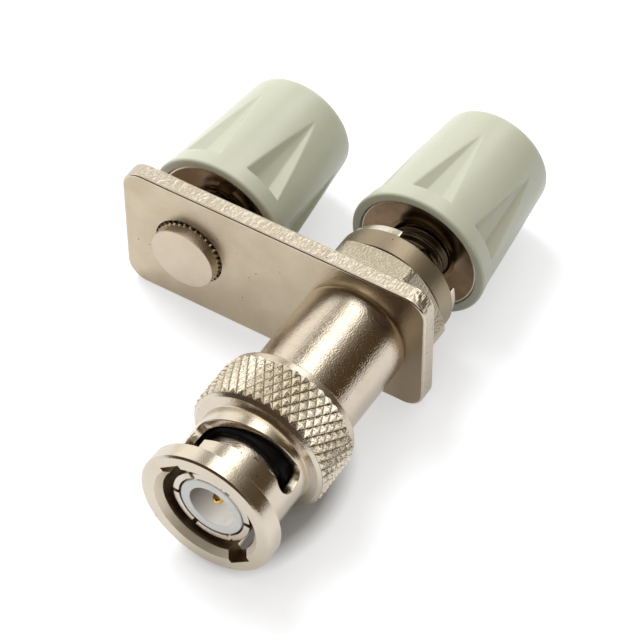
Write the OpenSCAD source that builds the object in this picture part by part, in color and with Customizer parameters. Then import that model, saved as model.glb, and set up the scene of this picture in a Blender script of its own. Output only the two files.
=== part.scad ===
// Adapter from a bayonet plug to two binding posts, in millimetres.
// The plug's axis runs along Y, with the plug to the front (-Y) and the knobs behind (+Y).
// The plate stands on its long edge, and the origin is on the ground under the middle.

/* [Plate] */
// Distance between the two post axes
post_pitch = 19.05; // [17.5:0.05:24]
// Distance from a post's axis to the nearest edges of the plate
plate_margin = 7.5; // [7:0.1:9]
// Thickness of the plate
plate_t = 1.9; // [1.5:0.1:3]
// Radius of the plate's corners
plate_corner_r = 2.2; // [1:0.1:4]

/* [Barrel] */
// Diameter of the barrel between the plate and the nut
barrel_d = 11.24; // [10.8:0.02:11.6]
// Length of the barrel that shows between the plate and the nut
barrel_l = 11.5; // [9:0.1:16]
// Radius of the rounded edge at the plate
barrel_round_r = 1.2; // [0.4:0.1:2]
// Share of that radius that stands clear of the plate
barrel_round_share = 0.62; // [0.4:0.02:0.9]
// Diameter of the spigot that goes through the plate
spigot_d = 9.5; // [8.6:0.1:10]
// Diameter of the barrel inside the nut
neck_d = 10; // [9.6:0.1:10.3]
// Diameter of the nose in front of the retaining ring
nose_d = 9.4; // [9:0.05:9.5]
// Length of the nose past the nut's inner step
nose_l = 0.75; // [0.4:0.05:1.2]
// Depth of the retaining ring's groove
groove_depth = 0.45; // [0.3:0.05:0.6]
// Diameter of the bore through the barrel, which is the insulator's too
insulator_d = 6.62; // [6.3:0.02:6.9]

/* [Coupling nut] */
// Length of the nut
nut_l = 14.6; // [13.5:0.1:16]
// Diameter of the plain rims on each side of the knurl
rim_d = 13.98; // [13.6:0.02:14.4]
// Diameter over the knurl's crests
knurl_d = 14.6; // [14.4:0.1:15]
// Length of the knurl
knurl_l = 5.05; // [4:0.05:6]
// Number of knurl points around the nut
knurl_count = 45; // [30:1:60]
// Number of knurl points along the knurl
knurl_rows = 3; // [2:1:6]
// Length of the plain rim behind the knurl
rear_rim_l = 0.9; // [0.4:0.05:1.2]
// Length of the plain rim in front of the knurl
front_rim_l = 0.15; // [0.1:0.05:0.8]
// Length of the sloping shoulder in front of that rim
shoulder_l = 0.15; // [0.1:0.05:1]
// Diameter of the sleeve that carries the bayonet slots
sleeve_d = 11.5; // [11.2:0.05:12]
// Diameter of the front flange
flange_d = 14.12; // [13.6:0.02:14.6]
// Thickness of the front flange
flange_t = 1.82; // [1.4:0.02:2.4]
// Diameter of the bore that takes the jack
nut_bore_d = 9.9; // [9.8:0.02:10.1]
// Chamfer at the mouth of the bore
mouth_chamfer = 0.4; // [0.2:0.05:0.6]
// Diameter of the cavity around the spring
cavity_d = 12.5; // [12.2:0.05:12.8]
// Length of that cavity
cavity_l = 4.1; // [3.9:0.1:4.4]
// Thickness of the rear lip
lip_t = 1.1; // [0.8:0.05:1.4]
// Broken edges of the nut
edge_break = 0.15; // [0.05:0.05:0.3]

/* [Bayonet slots] */
// Angle at which a lug goes in, from +X towards +Z
entry_angle = 129; // [120:1:140]
// Angle at which a lug locks
lock_angle = 25; // [20:1:40]
// Width of the slot
slot_w = 2.65; // [2.2:0.05:2.7]
// Diameter to which the entry is cut inside the flange
entry_d = 11.7; // [11.55:0.05:12.2]
// Distance from the nut's front to the middle of the slot at the entry
entry_l = 5.05; // [4.8:0.05:5.4]
// Distance that the ramp rises towards the plate
ramp_rise = 1.2; // [0.8:0.05:1.4]
// Radius of the round pocket at the locked end
pocket_r = 1.4; // [1.35:0.05:1.6]
// Distance that the pocket dips back towards the front
pocket_dip = 0.3; // [0.1:0.05:0.5]

/* [Plug contacts] */
// Diameter of the outer contact behind its fingers' tips
contact_d = 8.1; // [7.9:0.05:8.3]
// Diameter over the beads at the fingers' tips
bead_d = 8.4; // [8.3:0.02:8.6]
// Wall of the outer contact
contact_wall = 0.4; // [0.3:0.05:0.5]
// Distance of the fingers' tips from the nut's front
contact_setback = 1; // [0.6:0.1:2]
// Length of the slits between the fingers
slit_l = 4.7; // [3:0.1:5]
// Width of a slit
slit_w = 0.5; // [0.3:0.05:0.7]
// Number of fingers, an even number
finger_count = 6; // [4:2:8]
// Depth of the contact's seat in the barrel
contact_seat_l = 3.6; // [2.5:0.1:4]
// Bore of the white insulator around the pin
insulator_bore_d = 4.68; // [4.4:0.02:5]
// Depth of that bore
insulator_bore_l = 5.5; // [4.5:0.1:6.5]
// Length of insulator inside the barrel's bore
insulator_seat_l = 4.5; // [3:0.1:6]
// Diameter of the centre pin
pin_d = 1.35; // [1.3:0.01:1.4]
// Distance of the pin's tip from the insulator's front
pin_setback = 0.95; // [0.5:0.05:2]
// Diameter of the pin's tail inside the insulator
tail_d = 2.2; // [1.8:0.1:2.6]
// Outside diameter of the rubber gasket
gasket_d = 9.5; // [9.2:0.05:9.6]
// Length of the gasket
gasket_l = 2.4; // [1.5:0.1:2.8]

/* [Nut spring] */
// Thickness of the thrust washer
washer_t = 0.5; // [0.4:0.05:0.7]
// Outside diameter of the thrust washer
washer_d = 12.1; // [11.6:0.05:12.2]
// Free height of the wave spring
spring_h = 1.6; // [1.3:0.05:1.7]
// Thickness of the spring's strip
spring_t = 0.25; // [0.2:0.01:0.35]
// Number of waves
wave_count = 3; // [3:1:4]
// Thickness of the retaining ring
ring_t = 0.7; // [0.5:0.05:0.8]
// Gap in the retaining ring
ring_gap = 2; // [1:0.1:4]

/* [Signal post] */
// Width across the flats of the hexagon nut
hex_af = 12.7; // [12:0.05:13.2]
// Thickness of the hexagon nut
hex_t = 3.1; // [2.6:0.05:4]
// Diameter to which the hexagon's corners are turned down
hex_corner_d = 14.3; // [13.9:0.05:14.6]
// Angle of the chamfer on the hexagon's rear face
hex_chamfer_angle = 30; // [20:1:40]
// Thickness of the insulator's flange
bush_flange_t = 0.3; // [0.2:0.05:0.6]
// Diameter of the insulator's flange
bush_flange_d = 12; // [11:0.1:12.4]
// Length of the insulator's bush in front of the plate
bush_l = 4; // [2:0.1:6]
// Diameter of the post's shank in the insulator
shank_d = 4; // [3:0.1:4.8]
// Diameter of the wire that joins the shank to the pin
spindle_d = 1.4; // [1:0.05:1.7]
// Length of that wire inside the pin's tail
spindle_seat_l = 2.5; // [1.5:0.1:3.5]
// Diameter of the collar
collar_d = 12.7; // [12.2:0.05:13]
// Length of the collar
collar_l = 2.1; // [1.6:0.05:2.8]
// Diameter of the crown
crown_d = 12.1; // [11.6:0.05:12.2]
// Bore of the crown
crown_bore_d = 9.6; // [8.8:0.1:10.4]
// Height of the crown
crown_h = 1; // [0.6:0.05:1.4]
// Width of the slot across the crown
crown_slot_w = 7.3; // [5:0.1:8]
// Angle of that slot, from +X towards +Z
crown_slot_angle = 51; // [0:1:90]

/* [Ground post] */
// Diameter of the plain button in front of the plate
button_d = 7.02; // [6:0.02:7.4]
// Height of the button above the plate
button_h = 1.25; // [0.8:0.05:2]
// Diameter of the knurled shank
press_d = 7.7; // [7.5:0.05:8.4]
// Height of the knurl that shows in front of the plate
press_h = 0.35; // [0.1:0.05:0.6]
// Thickness of the seat behind the plate, which has the crown's diameter
seat_t = 1; // [0.6:0.05:1.6]

/* [Studs] */
// Diameter of both threaded studs
stud_d = 6.35; // [5.6:0.05:6.5]
// Length of a stud from its seat
stud_l = 14.5; // [13:0.1:15.5]
// Diameter of the banana sockets
socket_d = 4; // [4:0.02:4.1]
// Depth of the banana sockets
socket_l = 10.6; // [9:0.1:11]
// Diameter of the cross hole for a wire
wire_hole_d = 1.8; // [1:0.1:2.2]
// Distance of the cross hole from the stud's seat
wire_hole_l = 2.2; // [1.4:0.1:2.6]

/* [Knobs] */
// Length of a knob
knob_l = 15.75; // [14.5:0.05:17]
// Diameter at the rim
knob_rim_d = 15; // [14.2:0.1:15]
// Diameter where the flutes start
knob_band_d = 14.4; // [14:0.05:14.6]
// Length of the plain band at the rim
knob_band_l = 1.95; // [1.4:0.05:3]
// Diameter near the far end
knob_end_d = 11.9; // [11:0.1:12.6]
// Rounding of the far end
knob_end_round = 0.8; // [0.4:0.1:1.4]
// Number of flutes
flute_count = 6; // [4:1:8]
// Length of a flute
flute_l = 10.5; // [8:0.1:12]
// Angle that a flute takes up at its wide end
flute_angle = 35; // [24:1:40]
// Depth of a flute at its wide end
flute_depth = 1.15; // [0.6:0.05:1.4]
// Width of a flute's floor at its wide end
flute_floor_w = 1.3; // [0.4:0.1:2]
// Angle of the first flute of the signal knob
signal_flute_angle = 28; // [0:1:59]
// Angle of the first flute of the ground knob
ground_flute_angle = 53; // [0:1:59]
// Diameter of the hole in the far end
knob_hole_d = 7; // [6.8:0.1:7.6]
// Outside diameter of the insert's dished flange
dish_d = 12.9; // [12.6:0.05:13.4]
// Width of the flat lip around the dish
dish_lip = 0.25; // [0.1:0.05:0.4]
// Distance of the dish's lip from the rim
dish_setback = 0.15; // [0.05:0.05:0.4]
// Depth of the dish below its lip
dish_depth = 0.45; // [0.2:0.05:0.8]
// Diameter of the flat floor of the dish
dish_floor_d = 7.6; // [7:0.1:8.4]
// Thickness of the flange under that floor
dish_t = 0.8; // [0.5:0.1:1]
// Outside diameter of the threaded sleeve
insert_d = 8.8; // [7.8:0.1:9.2]
// Distance of the sleeve's far end from the rim
insert_l = 12; // [10:0.1:13]
// Distance from the signal crown to the knob's rim as the knob stands
signal_open = 2.95; // [2:0.05:3.5]
// Distance from the plate to the ground knob's rim as the knob stands
ground_open = 3.05; // [2.5:0.05:3.5]

/* [Clearances] */
// Gap around the barrel in the nut's lip
lip_clear = 0.08; // [0.04:0.01:0.1]
// Gap around the neck in the thrust washer
washer_clear = 0.08; // [0.04:0.01:0.1]
// Gap around the studs in the knobs' threads
thread_clear = 0.06; // [0.03:0.01:0.1]
// Gap between a knob and its insert
insert_clear = 0.05; // [0.02:0.01:0.08]

/* [Hidden] */
$fn = 48;

nickel = [0.78, 0.73, 0.64];
white = [0.88, 0.89, 0.88];
gold = [0.80, 0.58, 0.25];
black = [0.05, 0.05, 0.05];
dark = [0.16, 0.12, 0.09];
knob_green = [0.74, 0.76, 0.68];

// Positions along Y, with 0 at the plate's front face
y_nut_rear = -barrel_l;
y_nut_front = y_nut_rear - nut_l;
y_lip = y_nut_rear - lip_t;
y_cavity = y_lip - cavity_l;
y_knurl_rear = y_nut_rear - rear_rim_l;
y_knurl_front = y_knurl_rear - knurl_l;
y_shoulder = y_knurl_front - front_rim_l;
y_sleeve = y_shoulder - shoulder_l;
y_flange = y_nut_front + flange_t;
y_washer = y_lip - washer_t;
y_ring = y_washer - spring_h;
y_ring_front = y_ring - ring_t;
y_land = y_cavity + 0.4;
y_nose = y_cavity - nose_l;
y_contact = y_nut_front + contact_setback;
y_contact_seat = y_nose + contact_seat_l;
y_pin_tip = y_contact + pin_setback;
y_bore_floor = y_contact + insulator_bore_l;
y_insulator_end = y_contact_seat + insulator_seat_l;
y_slot = y_nut_front + entry_l;
y_hex = plate_t + hex_t;
y_collar = y_hex + bush_flange_t;
y_crown = y_collar + collar_l;
y_seat = plate_t + seat_t;
y_signal_knob = y_crown + crown_h + signal_open;
y_ground_knob = plate_t + ground_open;

barrel_r = barrel_d / 2;
bore_r = nut_bore_d / 2;
sleeve_r = sleeve_d / 2;
rim_r = rim_d / 2;
contact_bore_r = contact_d / 2 - contact_wall;
insert_bore_d = stud_d + 2 * thread_clear;
plate_w = post_pitch + 2 * plate_margin;
plate_h = 2 * plate_margin;
y_back = y_signal_knob + knob_l;
frame_shift = [post_pitch / 2, -(y_back + y_nut_front) / 2, plate_margin];
ramp_steps = 12;
knurl_crest_r = knurl_d / 2;
knurl_core_r = min(rim_r, knurl_crest_r - 0.13);
knurl_root_r = knurl_core_r + 0.03;
knurl_inner_r = (knurl_core_r + cavity_d / 2) / 2;

// A profile of radius and Y, turned about the plug's axis
module turned() {
    rotate([-90, 0, 0])
        rotate_extrude()
            children();
}

// A plain ring from y0 to y1
module ring(outer_d, inner_d, y0, y1) {
    turned()
        polygon([[inner_d / 2, y0], [outer_d / 2, y0], [outer_d / 2, y1], [inner_d / 2, y1]]);
}

module on_signal() {
    translate(frame_shift)
        children();
}

module on_ground() {
    translate(frame_shift - [post_pitch, 0, 0])
        children();
}

module plate_outline() {
    inner_w = plate_w - 2 * plate_corner_r;
    inner_h = plate_h - 2 * plate_corner_r;
    square([plate_w, inner_h], center = true);
    square([inner_w, plate_h], center = true);
    for (sx = [-1, 1], sz = [-1, 1])
        translate([sx * inner_w / 2, sz * inner_h / 2])
            circle(r = plate_corner_r);
}

module plate() {
    color(nickel)
        translate(frame_shift + [0, plate_t, 0])
            rotate([90, 0, 0])
                linear_extrude(plate_t)
                    difference() {
                        translate([-post_pitch / 2, 0])
                            plate_outline();
                        circle(d = spigot_d);
                        translate([-post_pitch, 0])
                            circle(d = press_d);
                    }
}

module barrel_profile() {
    round_y = -barrel_round_r * barrel_round_share;
    groove_r = neck_d / 2 - groove_depth;
    bore = insulator_d / 2;
    difference() {
        polygon([
            [bore, y_hex], [spigot_d / 2, y_hex], [spigot_d / 2, 0], [barrel_r, 0],
            [barrel_r, y_lip + 0.15], [neck_d / 2, y_lip + 0.15], [neck_d / 2, y_ring],
            [groove_r, y_ring], [groove_r, y_ring_front], [neck_d / 2, y_ring_front],
            [neck_d / 2, y_land], [nose_d / 2, y_land], [nose_d / 2, y_nose],
            [contact_d / 2, y_nose], [contact_d / 2, y_contact_seat], [bore, y_contact_seat]
        ]);
        difference() {
            translate([barrel_r - barrel_round_r, round_y])
                square([barrel_round_r + 1, -round_y]);
            translate([barrel_r - barrel_round_r, round_y])
                circle(r = barrel_round_r);
        }
    }
}

module plug_barrel() {
    color(nickel)
        on_signal()
            turned()
                barrel_profile();
}

module outer_contact() {
    bead_l = 1;
    color(nickel)
        on_signal()
            difference() {
                turned()
                    polygon([
                        [contact_bore_r, y_contact], [bead_d / 2 - 0.2, y_contact],
                        [bead_d / 2, y_contact + 0.3], [bead_d / 2, y_contact + bead_l],
                        [contact_d / 2, y_contact + 1.6 * bead_l], [contact_d / 2, y_contact_seat],
                        [contact_bore_r, y_contact_seat]
                    ]);
                for (i = [0 : finger_count / 2 - 1])
                    rotate([0, -i * 360 / finger_count, 0])
                        translate([-bead_d, y_contact - 1, -slit_w / 2])
                            cube([2 * bead_d, slit_l + 1, slit_w]);
            }
}

module plug_insulator() {
    color(white)
        on_signal()
            turned()
                polygon([
                    [insulator_bore_d / 2, y_contact], [insulator_d / 2, y_contact],
                    [insulator_d / 2, y_insulator_end], [tail_d / 2, y_insulator_end],
                    [tail_d / 2, y_bore_floor], [insulator_bore_d / 2, y_bore_floor]
                ]);
}

module centre_pin() {
    tip = pin_d / 2 - 0.25;
    color(gold)
        on_signal()
            turned()
                polygon([
                    [0, y_pin_tip], [tip, y_pin_tip], [pin_d / 2, y_pin_tip + 0.5],
                    [pin_d / 2, y_bore_floor], [tail_d / 2, y_bore_floor],
                    [tail_d / 2, y_insulator_end], [spindle_d / 2, y_insulator_end],
                    [spindle_d / 2, y_insulator_end - spindle_seat_l],
                    [0, y_insulator_end - spindle_seat_l]
                ]);
}

module front_gasket() {
    color(black)
        on_signal()
            ring(gasket_d, contact_d, y_nose - gasket_l, y_nose);
}

module nut_profile() {
    lip_r = barrel_r + lip_clear;
    flange_r = flange_d / 2;
    // A knurl no wider than the rims lies in a waist between them
    waist = knurl_core_r < rim_r
        ? [[rim_r, y_knurl_rear], [knurl_core_r, y_knurl_rear],
           [knurl_core_r, y_knurl_front], [rim_r, y_knurl_front]]
        : [];
    polygon([
        [lip_r, y_nut_rear], [rim_r - edge_break, y_nut_rear], [rim_r, y_nut_rear - edge_break],
        each waist,
        [rim_r, y_shoulder], [sleeve_r, y_sleeve], [sleeve_r, y_flange],
        [flange_r - edge_break, y_flange], [flange_r, y_flange - edge_break],
        [flange_r, y_nut_front + edge_break], [flange_r - edge_break, y_nut_front],
        [bore_r + mouth_chamfer, y_nut_front], [bore_r, y_nut_front + mouth_chamfer],
        [bore_r, y_cavity], [cavity_d / 2, y_cavity], [cavity_d / 2, y_lip], [lip_r, y_lip]
    ]);
}

function around_y(r, angle, y) = [r * cos(angle), y, r * sin(angle)];

// Corner i around and j along the knurl, crest and root by turns
function knurl_corner(i, j) =
    around_y(
        (i + j) % 2 == 0 ? knurl_crest_r : knurl_root_r,
        i * 180 / knurl_count,
        y_knurl_front + j * knurl_l / (2 * knurl_rows)
    );

// The two triangles between four corners, folded along the roots
function knurl_cell(i, j, columns) =
    let (a = columns * j + i,
         b = columns * j + (i + 1) % columns,
         c = b + columns,
         d = a + columns)
    (i + j) % 2 == 0 ? [[a, b, d], [c, d, b]] : [[a, b, c], [a, c, d]];

// The diamond knurl is a ring of small pyramids, rooted in the rim
module knurl() {
    columns = 2 * knurl_count;
    rows = 2 * knurl_rows;
    front = columns * (rows + 1);
    rear = front + columns;
    last = columns * rows;
    outside = [for (j = [0 : rows], i = [0 : columns - 1]) knurl_corner(i, j)];
    inside = [
        for (y = [y_knurl_front, y_knurl_rear], i = [0 : columns - 1])
            around_y(knurl_inner_r, i * 180 / knurl_count, y)
    ];
    pyramids = [for (j = [0 : rows - 1], i = [0 : columns - 1]) each knurl_cell(i, j, columns)];
    ends = [
        for (i = [0 : columns - 1])
            let (next = (i + 1) % columns)
            each [
                [front + i, front + next, next, i],
                [last + i, last + next, rear + next, rear + i],
                [front + i, rear + i, rear + next, front + next]
            ]
    ];
    polyhedron(concat(outside, inside), concat(pyramids, ends), convexity = 6);
}

// A radial hole through the sleeve at one angle and one Y
module lug_hole(angle, y, r) {
    rotate([0, -angle, 0])
        translate([bore_r - 0.5, y, 0])
            rotate([0, 90, 0])
                cylinder(r = r, h = sleeve_r - bore_r + 1);
}

function ramp_point(i, r, side) =
    around_y(
        r,
        entry_angle + (lock_angle - entry_angle) * i / ramp_steps,
        y_slot + ramp_rise * i / ramp_steps + side * slot_w / 2
    );

// The sloping length of a bayonet slot, cut right through the sleeve
module ramp() {
    near = bore_r - 0.5;
    far = sleeve_r + 0.4;
    points = [
        for (i = [0 : ramp_steps])
            each [
                ramp_point(i, near, -1), ramp_point(i, far, -1),
                ramp_point(i, far, 1), ramp_point(i, near, 1)
            ]
    ];
    sides = [
        for (i = [0 : ramp_steps - 1], k = [0 : 3])
            [4 * i + k, 4 * i + (k + 1) % 4, 4 * i + 4 + (k + 1) % 4, 4 * i + 4 + k]
    ];
    last = 4 * ramp_steps;
    polyhedron(
        points,
        concat([[3, 2, 1, 0]], sides, [[last, last + 1, last + 2, last + 3]]),
        convexity = 4
    );
}

module bayonet_slot() {
    rotate([0, -entry_angle, 0])
        translate([bore_r - 0.5, y_nut_front - 1, -slot_w / 2])
            cube([entry_d / 2 - bore_r + 0.5, entry_l + 1, slot_w]);
    lug_hole(entry_angle, y_slot, slot_w / 2);
    ramp();
    lug_hole(lock_angle, y_slot + ramp_rise - pocket_dip, pocket_r);
}

module coupling_nut() {
    color(nickel)
        on_signal()
            union() {
                difference() {
                    turned()
                        nut_profile();
                    bayonet_slot();
                    rotate([0, 180, 0])
                        bayonet_slot();
                }
                knurl();
            }
}

module thrust_washer() {
    color(nickel)
        on_signal()
            ring(washer_d, neck_d + 2 * washer_clear, y_washer, y_lip);
}

function wave_point(i, n, r, side) =
    let (angle = 360 * i / n,
         swing = (spring_h - spring_t) / 2,
         middle = (y_washer + y_ring) / 2)
    [r * cos(angle), middle + swing * cos(wave_count * angle) + side * spring_t / 2, r * sin(angle)];

module wave_spring() {
    n = 48;
    near = neck_d / 2 + 0.15;
    far = cavity_d / 2 - 0.3;
    points = [
        for (i = [0 : n - 1])
            each [
                wave_point(i, n, near, -1), wave_point(i, n, far, -1),
                wave_point(i, n, far, 1), wave_point(i, n, near, 1)
            ]
    ];
    sides = [
        for (i = [0 : n - 1], k = [0 : 3])
            let (j = (i + 1) % n)
            [4 * j + k, 4 * j + (k + 1) % 4, 4 * i + (k + 1) % 4, 4 * i + k]
    ];
    color(nickel)
        on_signal()
            polyhedron(points, sides, convexity = 6);
}

module retaining_ring() {
    color(nickel)
        on_signal()
            difference() {
                ring(cavity_d - 0.5, neck_d - 2 * groove_depth, y_ring_front, y_ring);
                translate([-ring_gap / 2, y_ring_front - 1, -cavity_d])
                    cube([ring_gap, ring_t + 2, cavity_d]);
            }
}

module hex_nut() {
    corner_r = hex_corner_d / 2;
    drop = (corner_r - hex_af / 2) * tan(hex_chamfer_angle);
    color(nickel)
        on_signal()
            difference() {
                intersection() {
                    rotate([-90, 0, 0])
                        translate([0, 0, plate_t])
                            cylinder(d = hex_af / cos(30), h = hex_t, $fn = 6);
                    turned()
                        polygon([
                            [0, plate_t], [corner_r, plate_t], [corner_r, y_hex - drop],
                            [hex_af / 2, y_hex], [0, y_hex]
                        ]);
                }
                rotate([-90, 0, 0])
                    translate([0, 0, plate_t - 1])
                        cylinder(d = spigot_d, h = hex_t + 2);
            }
}

module post_insulator() {
    color(dark)
        on_signal()
            turned()
                polygon([
                    [shank_d / 2, -bush_l], [insulator_d / 2, -bush_l], [insulator_d / 2, y_hex],
                    [bush_flange_d / 2, y_hex], [bush_flange_d / 2, y_collar],
                    [shank_d / 2, y_collar]
                ]);
}

// The socket and the cross hole of a stud that starts at y0
module stud_cuts(y0, wire_angle) {
    rotate([-90, 0, 0])
        translate([0, 0, y0 + stud_l - socket_l])
            cylinder(d = socket_d, h = socket_l + 1);
    rotate([0, -wire_angle, 0])
        translate([-stud_d, y0 + wire_hole_l, 0])
            rotate([0, 90, 0])
                cylinder(d = wire_hole_d, h = 2 * stud_d);
}

// The castle of the signal post, rooted in its collar
module crown() {
    root = 0.3;
    difference() {
        ring(crown_d, crown_bore_d, y_crown - root, y_crown + crown_h);
        rotate([0, -crown_slot_angle, 0])
            translate([-crown_d, y_crown - 1, -crown_slot_w / 2])
                cube([2 * crown_d, crown_h + 2, crown_slot_w]);
    }
}

module signal_post() {
    stud_r = stud_d / 2;
    collar_r = collar_d / 2;
    y_end = y_crown + stud_l;
    color(nickel)
        on_signal()
            union() {
                difference() {
                    turned()
                        polygon([
                            [0, y_insulator_end - spindle_seat_l],
                            [spindle_d / 2, y_insulator_end - spindle_seat_l],
                            [spindle_d / 2, -bush_l], [shank_d / 2, -bush_l], [shank_d / 2, y_collar],
                            [collar_r - edge_break, y_collar], [collar_r, y_collar + edge_break],
                            [collar_r, y_crown - edge_break], [collar_r - edge_break, y_crown],
                            [stud_r, y_crown], [stud_r, y_end - 0.4], [stud_r - 0.4, y_end],
                            [0, y_end]
                        ]);
                    stud_cuts(y_crown, crown_slot_angle);
                }
                crown();
            }
}

module ground_post() {
    stud_r = stud_d / 2;
    y_end = y_seat + stud_l;
    color(nickel)
        on_ground()
            difference() {
                turned()
                    polygon([
                        [0, -button_h], [button_d / 2 - edge_break, -button_h],
                        [button_d / 2, edge_break - button_h], [button_d / 2, -press_h],
                        [press_d / 2, -press_h], [press_d / 2, plate_t], [crown_d / 2, plate_t],
                        [crown_d / 2, y_seat], [stud_r, y_seat], [stud_r, y_end - 0.4],
                        [stud_r - 0.4, y_end], [0, y_end]
                    ]);
                stud_cuts(y_seat, 90);
            }
}

module knob_insert(y0) {
    dish_r = dish_d / 2;
    lip_y = y0 + dish_setback;
    floor_y = lip_y + dish_depth;
    back_y = floor_y + dish_t;
    turned()
        polygon([
            [insert_bore_d / 2, floor_y], [dish_floor_d / 2, floor_y], [dish_r - dish_lip, lip_y],
            [dish_r, lip_y], [dish_r, back_y], [insert_d / 2, back_y],
            [insert_d / 2, y0 + insert_l], [insert_bore_d / 2, y0 + insert_l]
        ]);
}

// One flute is a pyramid that runs out through the surface near the knob's far end
module flute(y0) {
    y1 = y0 + knob_band_l + 0.1;
    taper = (knob_band_d - knob_end_d) / 2 / (knob_l - knob_band_l - knob_end_round);
    start_r = knob_band_d / 2 - 0.1 * taper;
    floor_r = start_r - flute_depth;
    reach = 1.12;
    tip_r = floor_r + reach * (flute_depth - taper * flute_l);
    half = flute_angle / 2;
    edge_x = start_r * cos(half);
    edge_z = start_r * sin(half);
    side_x = floor_r + 1.7 * (edge_x - floor_r);
    side_z = flute_floor_w / 2 + 1.7 * (edge_z - flute_floor_w / 2);
    polyhedron(
        [
            [floor_r, y1, -flute_floor_w / 2], [floor_r, y1, flute_floor_w / 2],
            [side_x, y1, side_z], [side_x, y1, -side_z], [tip_r, y1 + reach * flute_l, 0]
        ],
        [[0, 1, 2, 3], [1, 0, 4], [2, 1, 4], [3, 2, 4], [0, 3, 4]]
    );
}

module knob_body(y0, first_angle) {
    rim_r = knob_rim_d / 2;
    end_r = knob_end_d / 2;
    round = knob_end_round;
    recess_r = dish_d / 2 + insert_clear;
    sleeve_bore_r = insert_d / 2 + insert_clear;
    y1 = y0 + knob_l;
    back_y = y0 + dish_setback + dish_depth + dish_t + insert_clear;
    sleeve_y = y0 + insert_l + insert_clear;
    difference() {
        turned()
            polygon([
                [recess_r, back_y], [recess_r, y0], [rim_r - 0.3, y0], [rim_r, y0 + 0.3],
                [knob_band_d / 2, y0 + knob_band_l], [end_r, y1 - round],
                [end_r - 0.3 * round, y1 - 0.3 * round], [end_r - round, y1],
                [knob_hole_d / 2, y1], [knob_hole_d / 2, sleeve_y], [sleeve_bore_r, sleeve_y],
                [sleeve_bore_r, back_y]
            ]);
        for (i = [0 : flute_count - 1])
            rotate([0, -first_angle - i * 360 / flute_count, 0])
                flute(y0);
    }
}

module signal_knob_insert() {
    color(nickel)
        on_signal()
            knob_insert(y_signal_knob);
}

module signal_knob() {
    color(knob_green)
        on_signal()
            knob_body(y_signal_knob, signal_flute_angle);
}

module ground_knob_insert() {
    color(nickel)
        on_ground()
            knob_insert(y_ground_knob);
}

module ground_knob() {
    color(knob_green)
        on_ground()
            knob_body(y_ground_knob, ground_flute_angle);
}

plate();
plug_barrel();
outer_contact();
plug_insulator();
centre_pin();
front_gasket();
coupling_nut();
thrust_washer();
wave_spring();
retaining_ring();
hex_nut();
post_insulator();
signal_post();
signal_knob_insert();
signal_knob();
ground_post();
ground_knob_insert();
ground_knob();
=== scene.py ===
import math
from types import SimpleNamespace as Values

import bmesh
import bpy
from mathutils import Matrix, Vector
from mathutils.geometry import delaunay_2d_cdt


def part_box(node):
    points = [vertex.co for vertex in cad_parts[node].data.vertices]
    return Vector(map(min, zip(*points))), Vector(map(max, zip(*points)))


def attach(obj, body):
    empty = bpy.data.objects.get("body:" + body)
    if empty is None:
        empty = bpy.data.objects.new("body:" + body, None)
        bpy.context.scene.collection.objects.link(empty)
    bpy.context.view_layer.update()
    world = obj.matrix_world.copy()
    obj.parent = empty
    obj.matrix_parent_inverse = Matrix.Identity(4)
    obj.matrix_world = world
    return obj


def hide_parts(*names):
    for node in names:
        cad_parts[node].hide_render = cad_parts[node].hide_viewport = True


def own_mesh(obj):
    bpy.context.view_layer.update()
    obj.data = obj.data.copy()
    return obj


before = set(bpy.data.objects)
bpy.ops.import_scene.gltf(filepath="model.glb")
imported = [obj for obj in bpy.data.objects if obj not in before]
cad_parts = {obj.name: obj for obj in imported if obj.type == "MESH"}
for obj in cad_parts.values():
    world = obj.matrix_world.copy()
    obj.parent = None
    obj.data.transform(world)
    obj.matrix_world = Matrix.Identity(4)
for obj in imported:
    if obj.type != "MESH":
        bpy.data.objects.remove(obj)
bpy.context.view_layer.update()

mm = 0.001
fullTurn = 2 * math.pi
plateLow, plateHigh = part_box("plate")
plateHalf = (plateHigh.z - plateLow.z) / 2
# the axes of the plug and of the ground post, at the plate's front face
signalAt = Vector((plateHigh.x - plateHalf, plateLow.y, plateLow.z + plateHalf))
groundAt = Vector((plateLow.x + plateHalf, plateLow.y, plateLow.z + plateHalf))


def bothWays(kind):  # an operator with the wire on its left, and on its right
    return (lambda wire, other: wire.pad.math(kind, wire, other),
            lambda wire, other: wire.pad.math(kind, other, wire))


class Wire:  # a node's socket that can stand in a sum
    def __init__(self, pad, socket):
        self.pad = pad
        self.socket = socket

    __add__, __radd__ = bothWays("ADD")
    __sub__, __rsub__ = bothWays("SUBTRACT")
    __mul__, __rmul__ = bothWays("MULTIPLY")
    __truediv__, __rtruediv__ = bothWays("DIVIDE")
    __mod__, __rmod__ = bothWays("FLOORED_MODULO")


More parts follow.
